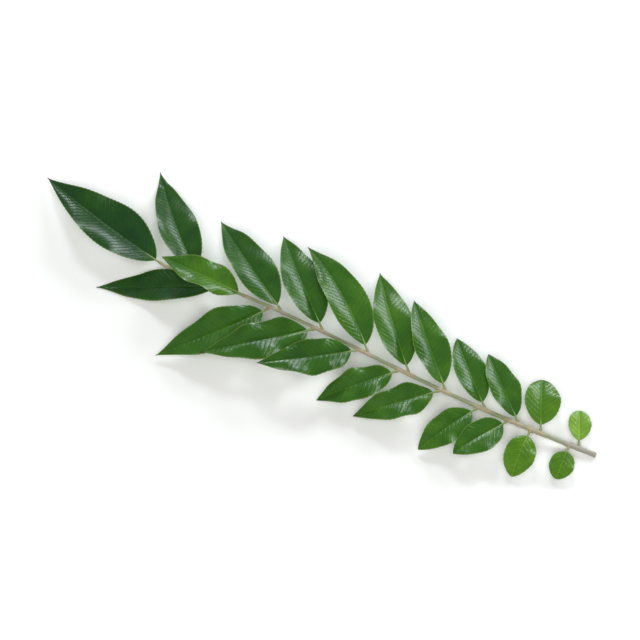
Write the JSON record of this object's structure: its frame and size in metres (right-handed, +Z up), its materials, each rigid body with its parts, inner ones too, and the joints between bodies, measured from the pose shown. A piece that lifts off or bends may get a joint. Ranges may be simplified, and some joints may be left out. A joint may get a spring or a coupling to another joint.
{
  "type": "curry leaf sprig",
  "caption": "Cut compound leaf lying on a table: a slim arched stalk with pointed leaflets on both sides, small and round near the cut, and one leaflet at its end.",
  "frame": {"origin": "middle of the outline's box, on the table that the sprig lies on", "axes": "+Z up from the table; the stalk runs along X, with its cut end at +X and the end leaflet at -X; leaflets spread towards +Y and -Y"},
  "size_m": [0.2485, 0.0741, 0.0191],
  "materials": {
    "leaf": "waxy satin"
  },
  "bodies": {
    "root": {"frond": "leaf"}
  },
  "joints": []
}
